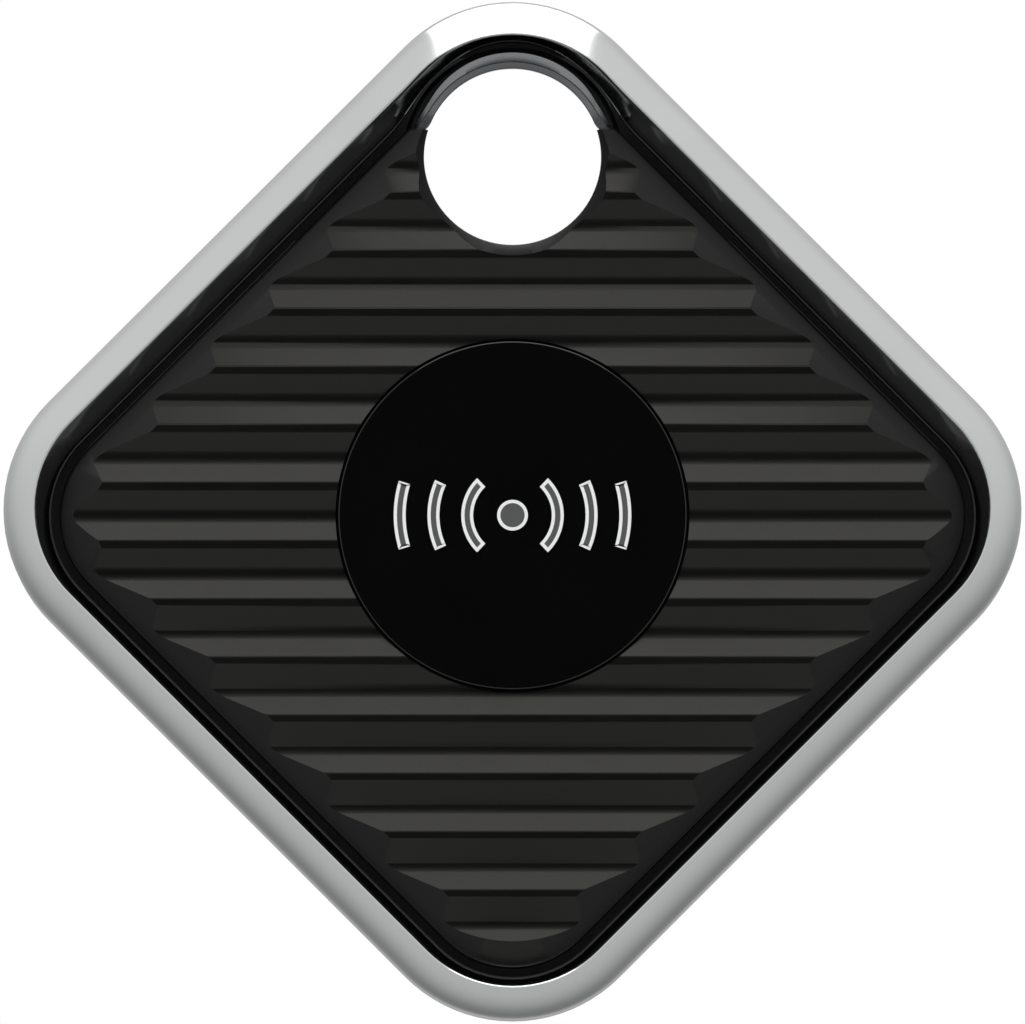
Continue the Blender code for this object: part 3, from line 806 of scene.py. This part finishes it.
def keyEyeArch():
    outer, step, edge = arch["outer"], arch["step"], arch["edge"]
    bm = bmesh.new()
    loops = [
        splayedLoop(bm, outer, arch["foot"]),
        splayedLoop(bm, outer, arch["crest"] - 0.05),
        splayedLoop(bm, outer, arch["crest"], -0.03),
        splayedLoop(bm, step, arch["crestFoot"], 0.05),
        splayedLoop(bm, step, arch["crestFoot"]),
        splayedLoop(bm, step, arch["ledge"], -0.01),
        splayedLoop(bm, edge, arch["edgeTop"], 0.03),
        splayedLoop(bm, edge, arch["edgeTop"] - 0.05),
        splayedLoop(bm, edge, arch["foot"]),
    ]
    piece = roughOut("keyEyeArch", skinned(bm, loops, ring=True))
    carved(piece, boxed(bmesh.new(), (-28, -28, 4), (28, tag["eyeUp"] + arch["notch"], 9)))
    return finished(piece, "eye_metal", "housing", ["key_eye_arch"])


keyEyeArch()


# button and its mark
def buttonCap():
    outer, top = button["radius"], button["top"]
    ceiling = top - button["skin"]
    bore = outer - button["wall"]
    flange = outer + button["flange"]
    flangeTop = cover["under"] - 0.1
    foot = flangeTop - button["flangeThickness"]
    profile = softened([
        ((0, ceiling), 0),
        ((bore, ceiling), 0.1),
        ((bore, foot), 0),
        ((flange, foot), 0.06),
        ((flange, flangeTop), 0.06),
        ((outer, flangeTop), 0),
        ((outer, top), 0.11),
        ((0, top), 0),
    ])
    piece = roughOut("buttonCap", spun(bmesh.new(), profile, button["centre"], 128))
    return finished(piece, "gloss_black", "button", ["button_cap"])


mark = dict(stroke=0.62, line=0.17, lift=0.03, halfHeight=1.7, arcs=(2.35, 4.1, 5.85), dot=0.8)


def buttonMark():
    # a dot with waves to each side, as a grey stroke with a white outline
    bm = bmesh.new()
    base = button["top"] - 0.01
    half = mark["stroke"] / 2
    for radius in mark["arcs"]:
        sweep = math.asin(mark["halfHeight"] / radius)
        for way in (0, math.pi):
            ends = [bm.verts.new((radius + side * half, 0, base)) for side in (-1, 1)]
            start = bm.edges.new(ends)
            turnStart = Matrix.Rotation(way - sweep, 4, "Z")
            bmesh.ops.transform(bm, matrix=turnStart, verts=ends)
            steps = max(10, int(radius * 7))
            bmesh.ops.spin(
                bm, geom=[*ends, start], cent=(0, 0, base), axis=(0, 0, 1), angle=2 * sweep,
                steps=steps,
            )
    middle = Matrix.Translation((0, 0, base))
    bmesh.ops.create_circle(bm, cap_ends=True, segments=40, radius=mark["dot"], matrix=middle)
    bmesh.ops.recalc_face_normals(bm, faces=bm.faces)
    for face in bm.faces:
        if face.normal.z < 0:
            face.normal_flip()
    rims = bmesh.ops.inset_region(
        bm, faces=list(bm.faces), thickness=mark["line"], use_boundary=True, use_even_offset=True
    )
    outline = set(rims["faces"])
    for face in bm.faces:
        face.material_index = 0 if face in outline else 1
    pulledOut(bm, bm.faces, (0, 0, mark["lift"]))
    bmesh.ops.translate(bm, verts=bm.verts, vec=(*button["centre"], 0))
    piece = roughOut("buttonMark", bm)
    return finished(piece, ["ink_white", "ink_grey"], "button")


buttonCap()
buttonMark()

# back shell, door and screws
back = dict(
    faceInset=1.7,
    edgeRound=1.1,
    step=1.3,
    floor=1.1,
    wallOut=2.5,
    wallIn=3.6,
    wallTop=5.0,
    wallRadius=4.2,
    wallInnerRadius=3.2,
    foot=0.6,  # where posts on the floor start
    collarRadius=12.9,
    collarTop=3.4,
    tubeWall=0.88,
    portRadius=0.35,
    portAt=-18.3,
    portGap=1.1,
    headBore=1.25,
    headSeat=0.95,
    shankBore=0.75,
)
door = dict(
    centre=(0, -1.0),
    radius=12.0,
    gap=0.25,
    face=0.15,
    plate=1.1,
    seat=1.7,
    threadRadius=11.0,
    threadDepth=0.22,
    threadPitch=1.0,
    threadGap=0.12,
    neckTop=3.15,
    neckBore=10.2,
    slotLength=13.0,
    slotWidth=1.8,
    slotDepth=0.5,
    slotCorner=0.6,
    slotSoftness=0.15,
    dish=(10.1, 10.7),  # a shallow ring inside the rim, from and to
    dishDepth=0.3,
)


def threadLoops(bm, start, end, gap, female):
    # a shallow thread is a round loop whose centre circles the axis once each pitch; towards its
    # ends a male thread fades to its root and a female one fades open
    depth, pitch = door["threadDepth"], door["threadPitch"]
    rest = depth if female else -depth
    rows = round((end - start) / pitch * 16)
    loops = []
    for row in range(rows + 1):
        z = start + (end - start) * row / rows
        fade = min(1.0, max(0.0, min(z - start, end - z) / (pitch / 4)))
        phase = math.tau * z / pitch
        aside = depth * fade
        x, y = door["centre"]
        centre = (x + aside * math.cos(phase), y + aside * math.sin(phase))
        radius = door["threadRadius"] + gap + rest * (1 - fade)
        loops.append(roundLoop(bm, radius, z, centre))
    return loops


arrow = dict(outside=1.35, sweep=9, tip=3.4, line=0.22, head=0.84, depth=0.12)  # turns are in degrees


def turnMarks():
    # two curved arrows beside the door, cut a little way into the back
    bm = bmesh.new()
    below = -0.5
    middle = door["radius"] + arrow["outside"]
    sweep, tip = math.radians(arrow["sweep"]), math.radians(arrow["tip"])
    line, head = arrow["line"] / 2, arrow["head"] / 2

    def spotAt(radius, turn):
        return bm.verts.new((radius * math.cos(turn), radius * math.sin(turn), below))

    for way in (0, math.pi):
        ends = [spotAt(middle - line, way - sweep), spotAt(middle + line, way - sweep)]
        bmesh.ops.spin(
            bm, geom=[*ends, bm.edges.new(ends)], cent=(0, 0, 0), axis=(0, 0, 1), angle=2 * sweep,
            steps=12,
        )
        high = way + sweep
        start = high + 0.002
        bm.faces.new([
            spotAt(middle - head, start), spotAt(middle, high + tip), spotAt(middle + head, start)
        ])
    pulledOut(bm, bm.faces, (0, 0, arrow["depth"] - below))
    bmesh.ops.translate(bm, verts=bm.verts, vec=(*door["centre"], 0))
    return bm


def backShell():
    full = tag["cornerRadius"]
    edgeSteps = 8
    spots = []
    for step in range(edgeSteps + 1):
        turn = math.pi / 2 * step / edgeSteps
        inset = back["faceInset"] - back["edgeRound"] * math.sin(turn)
        spots.append((inset, back["step"] * (1 - math.cos(turn)), full - inset))
    spots += [
        (back["wallOut"], back["step"], back["wallRadius"]),
        (back["wallOut"], back["wallTop"], back["wallRadius"]),
        (back["wallIn"], back["wallTop"], back["wallInnerRadius"]),
        (back["wallIn"], back["floor"], back["wallInnerRadius"]),
    ]
    bm = bmesh.new()
    skinned(bm, [outlineLoop(bm, *spot) for spot in spots])
    piece = roughOut("backShell", bm)

    # collar for the door, tube round the key hole and screw posts
    posts = bmesh.new()
    foot, collar = back["foot"], back["collarRadius"]
    stacked(posts, [(collar, foot), (collar, back["collarTop"])], door["centre"])
    tube = tag["eyeRadius"] + back["tubeWall"]
    stacked(posts, [(tube, foot), (tube, cover["foot"] - 0.1)], eyeAt)
    boss = cover["bossRadius"]
    for spot in cornersOfScrews():
        stacked(posts, [(boss, foot), (boss, back["wallTop"] + 0.1)], spot, 32)
    carved(piece, posts, "UNION")

    # door's threaded bore, key hole, screw holes and sound ports
    holes = bmesh.new()
    centre, seat = door["centre"], door["seat"]
    outer = door["radius"] + door["gap"]
    throat = door["threadRadius"] + door["threadDepth"] + door["threadGap"]
    bore = [roundLoop(holes, outer + 0.3, -0.3, centre), roundLoop(holes, outer, 0.12, centre)]
    bore += [roundLoop(holes, outer, seat, centre), roundLoop(holes, throat, seat, centre)]
    bore += threadLoops(holes, seat + 0.1, back["collarTop"] - 0.1, door["threadGap"], female=True)
    bore.append(roundLoop(holes, throat, back["collarTop"] + 1, centre))
    skinned(holes, bore)
    eye = tag["eyeRadius"]
    flare = [
        (eye + 1.5, -0.3), (eye + 0.85, 0.1), (eye + 0.58, 0.32), (eye + 0.48, 0.6), (eye + 0.12, 9.0)
    ]
    stacked(holes, flare, eyeAt)
    head, rest, shank = back["headBore"], back["headSeat"], back["shankBore"]
    for spot in cornersOfScrews():
        sunk = [(head + 0.2, -0.2), (head, 0.1), (head, rest), (shank, rest), (shank, 9.0)]
        stacked(holes, sunk, spot, 40)
    port = back["portRadius"]
    for number in (-1, 0, 1):
        spot = (number * back["portGap"], back["portAt"])
        stacked(holes, [(port + 0.2, -0.2), (port, 0.1), (port, 1.5)], spot, 24)
    carved(piece, holes)
    carved(piece, turnMarks())
    return finished(piece, "shell_black", "housing", ["back_shell"])


def batteryDoor():
    centre, radius = door["centre"], door["radius"]
    root = door["threadRadius"] - door["threadDepth"]
    bm = bmesh.new()
    rim = softened([
        ((radius - 1.0, door["face"]), 0),
        ((radius, door["face"]), 0.2),
        ((radius, door["plate"]), 0.06),
        ((root, door["plate"]), 0),
    ])
    loops = [roundLoop(bm, r, z, centre) for r, z in rim]
    loops += threadLoops(bm, door["seat"] + 0.15, door["neckTop"] - 0.05, 0.0, female=False)
    bore, neckTop = door["neckBore"], door["neckTop"]
    neck = [(root, neckTop), (bore, neckTop), (bore, door["plate"])]
    loops += [roundLoop(bm, r, z, centre) for r, z in neck]
    piece = roughOut("batteryDoor", skinned(bm, loops))

    # coin slot
    slot = bmesh.new()
    depth = door["face"] + door["slotDepth"]
    boxed(
        slot,
        (centre[0] - door["slotLength"] / 2, centre[1] - door["slotWidth"] / 2, -1),
        (centre[0] + door["slotLength"] / 2, centre[1] + door["slotWidth"] / 2, depth),
    )
    upright = [e for e in slot.edges if abs(e.verts[0].co.z - e.verts[1].co.z) > 0.1]
    bmesh.ops.bevel(
        slot, geom=upright, offset=door["slotCorner"], offset_type="OFFSET", affect="EDGES",
        segments=6, profile=0.5, material=-1,
    )
    low = [e for e in slot.edges if min(v.co.z for v in e.verts) > depth - 0.01]
    bmesh.ops.bevel(
        slot, geom=low, offset=door["slotSoftness"], offset_type="OFFSET", affect="EDGES",
        segments=3, profile=0.5, material=-1,
    )
    carved(piece, slot)

    near, far = door["dish"]
    deep = door["dishDepth"]
    dish = softened([((near, -0.5), 0), ((near, deep), 0.12), ((far, deep), 0.12), ((far, -0.5), 0)])
    carved(piece, spun(bmesh.new(), dish, centre, ring=True))
    return finished(piece, "shell_black", "door", ["battery_door"])


screw = dict(
    face=0.28,
    headRadius=1.1,
    headUnder=0.9,
    shank=0.6,
    tip=6.8,
    slotLength=1.44,
    slotWidth=0.34,
    slotFloor=0.58,
    slotTurn=37,  # degrees from one screw to the next
)


def housingScrews():
    head, shank, tip = screw["headRadius"], screw["shank"], screw["tip"]
    profile = softened([
        ((0, screw["face"]), 0),
        ((head - 0.25, screw["face"]), 0.12),
        ((head, screw["face"] + 0.17), 0.1),
        ((head, screw["headUnder"]), 0.05),
        ((shank, screw["headUnder"]), 0),
        ((shank, tip - 0.2), 0),
        ((shank - 0.2, tip), 0),
        ((0, tip), 0),
    ])
    long, wide = screw["slotLength"] / 2, screw["slotWidth"] / 2
    for number, spot in enumerate(cornersOfScrews(), 1):
        x, y = spot
        piece = roughOut(f"housingScrew{number}", spun(bmesh.new(), profile, spot, 40))
        slot = boxed(bmesh.new(), (x - long, y - wide, -1), (x + long, y + wide, screw["slotFloor"]))
        turn = Matrix.Rotation(math.radians(screw["slotTurn"] * number), 3, "Z")
        bmesh.ops.rotate(slot, verts=slot.verts, cent=(x, y, 0), matrix=turn)
        carved(piece, slot)
        finished(piece, "steel", "housing", [f"housing_screw_{number}"])


backShell()
batteryDoor()
housingScrews()

# carried-over inside parts
for name, node in frame["nodes"].items():
    if not node.hide_render:
        node.data.materials.clear()
        node.data.materials.append(finishes[slotOf[name]])
print("inside parts painted")

# room, light and camera
studio = dict(  # in metres and degrees
    floorBelow=0.045,
    floorSize=3.0,
    panelHeight=0.5,
    panelWidth=0.62,
    panelDepth=1.3,
    panelGlow=1.5,
    skyLow=0.30,
    skyLowNear=0.64,
    skyHigh=0.85,
    frontShade=0.03,  # the dark gap the camera looks through
    shadeInner=22,
    shadeOuter=33,
)


def studioFloor():
    bm = bmesh.new()
    bmesh.ops.create_grid(bm, x_segments=1, y_segments=1, size=studio["floorSize"] / 2)
    bmesh.ops.translate(bm, verts=bm.verts, vec=(0, 0, lowCorner.z - studio["floorBelow"]))
    floor = roughOut("studioFloor", bm)
    made, bench, shader, place = newFinish("paleFloor")
    cloud = bench.noise(place, 0.2, 2)
    feed(bench, shader, {
        "Base Color": bench.blend(cloud, (0.78, 0.78, 0.78), (0.82, 0.82, 0.82)),
        "Roughness": 0.8 + (cloud - 0.5) * 0.1,
    })
    floor.data.materials.append(made)
    floor.visible_glossy = False


def studioSky():
    # a soft tent, brighter above, with a dark gap in front; the view sees plain white
    sky = bpy.data.worlds.new("softTent")
    bpy.context.scene.world = sky
    sky.use_nodes = True
    sky.node_tree.nodes.clear()
    bench = Bench(sky.node_tree)
    way = bench.add("ShaderNodeTexCoord")
    split = bench.add("ShaderNodeSeparateXYZ", {}, {0: way})
    node = split.socket.node
    forward, up = Wire(bench, node.outputs[1]), Wire(bench, node.outputs[2])
    low = bench.smooth(forward, 0.75, -0.75, studio["skyLow"], studio["skyLowNear"])
    glow = bench.smooth(up, -0.75, 0.75, low, studio["skyHigh"])
    inner, outer = (-math.cos(math.radians(studio[k])) for k in ("shadeInner", "shadeOuter"))
    gap = bench.smooth(forward, inner, outer, studio["frontShade"], 1.0)
    behind = bench.smooth(forward, 0.0, 1.0, 1.0, 0.8)
    tent = bench.add("ShaderNodeBackground", {}, {0: (1, 1, 1, 1), 1: glow * gap * behind})
    plain = bench.add("ShaderNodeBackground", {}, {0: (1, 1, 1, 1), 1: 1.0})
    seen = bench.add("ShaderNodeLightPath")
    mix = bench.add("ShaderNodeMixShader", {}, {0: seen, 1: tent, 2: plain})
    bench.add("ShaderNodeOutputWorld", {}, {0: mix})


def overheadPanel():
    lamp = bpy.data.lights.new("overheadPanel", "AREA")
    lamp.shape = "RECTANGLE"
    lamp.size = studio["panelWidth"]
    lamp.size_y = studio["panelDepth"]
    lamp.energy = studio["panelGlow"] * math.pi * lamp.size * lamp.size_y
    panel = bpy.data.objects.new("overheadPanel", lamp)
    panel.location = (0, 0, studio["panelHeight"])
    panel.visible_camera = False
    bpy.context.scene.collection.objects.link(panel)


view = dict(
    distance=1.2,
    below=3.0,  # degrees that the camera looks up from under the tag's middle
    fill=0.9951,  # share of the picture's width that the tag takes
)


def frontCamera():
    lens = bpy.data.cameras.new("frontCamera")
    camera = bpy.data.objects.new("frontCamera", lens)
    bpy.context.scene.collection.objects.link(camera)
    middle = Vector((0, 0, -tag["eyeUp"] * mm))
    tilt = math.radians(view["below"])
    backwards = Vector((0, -math.cos(tilt), -math.sin(tilt)))
    camera.location = middle + backwards * view["distance"]
    camera.rotation_euler = (-backwards).to_track_quat("-Z", "Y").to_euler()
    seenWidth = tag["width"] * mm / view["fill"]
    lens.lens = lens.sensor_width * (view["distance"] - tag["thickness"] * mm / 2) / seenWidth
    lens.clip_start = 0.01
    lens.clip_end = 20
    bpy.context.scene.camera = camera


studioFloor()
studioSky()
overheadPanel()
frontCamera()
bpy.context.scene.view_settings.view_transform = "Standard"
print("studio ready")
